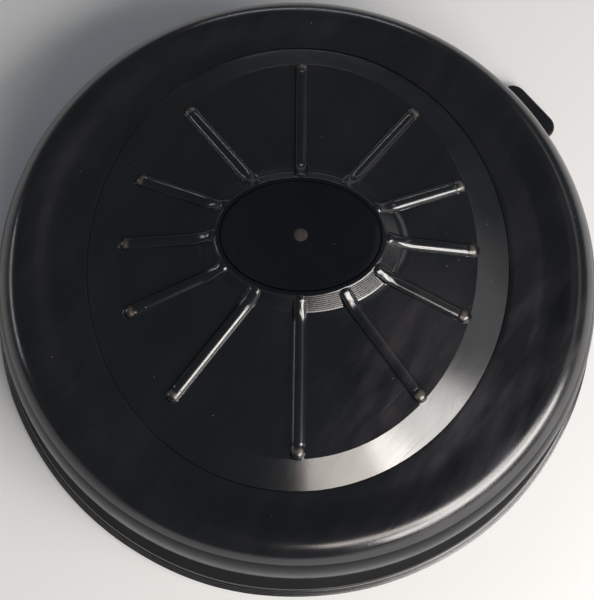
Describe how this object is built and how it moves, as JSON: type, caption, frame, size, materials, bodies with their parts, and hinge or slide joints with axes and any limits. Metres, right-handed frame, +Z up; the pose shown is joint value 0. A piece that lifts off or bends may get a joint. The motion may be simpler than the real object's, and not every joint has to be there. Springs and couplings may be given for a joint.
{
  "type": "kayak hatch cover",
  "caption": "Round soft-rimmed kayak hatch cover with an oval ribbed centre panel, snapped over the round bead of its moulded deck ring.",
  "frame": {"origin": "centre of the gasket's underside, where the hatch meets the deck", "axes": "+Z up along the hatch's axis; +Y along the long axis of the oval panel (turned 4 degrees); +X to the right"},
  "size_m": [0.2786, 0.2786, 0.0695],
  "materials": {
    "rim_rubber": "glossy moulded rubber, scuffed",
    "panel_plastic": "glossy, fine tool marks",
    "badge_plastic": "glossy",
    "backing_plastic": "fine grain",
    "seal_sponge": "matt closed-cell sponge",
    "ring_plastic": "satin moulded",
    "gasket_foam": "matt closed-cell foam"
  },
  "bodies": {
    "deck": {"deck_ring": "ring_plastic", "deck_gasket": "gasket_foam"},
    "cover": {"rim_brim": "rim_rubber", "rim_skirt": "rim_rubber", "neck_lip": "rim_rubber", "ribbed_panel": "panel_plastic", "badge_plate": "badge_plastic", "backing_disc": "backing_plastic", "groove_seal": "seal_sponge"},
    "tab": {"pull_tab": "rim_rubber"}
  },
  "joints": [
    {"name": "cover_lift", "type": "slide", "parent": "deck", "child": "cover", "axis": [0, 0, 1], "range_m": [0, 0.06]},
    {"name": "tab_flex", "type": "hinge", "parent": "cover", "child": "tab", "pos_m": [0.10997, 0.08905, 0.0032], "axis": [0.6293, -0.7771, 0], "range_deg": [0, 80], "stiffness_Nm_per_rad": 0.05}
  ]
}
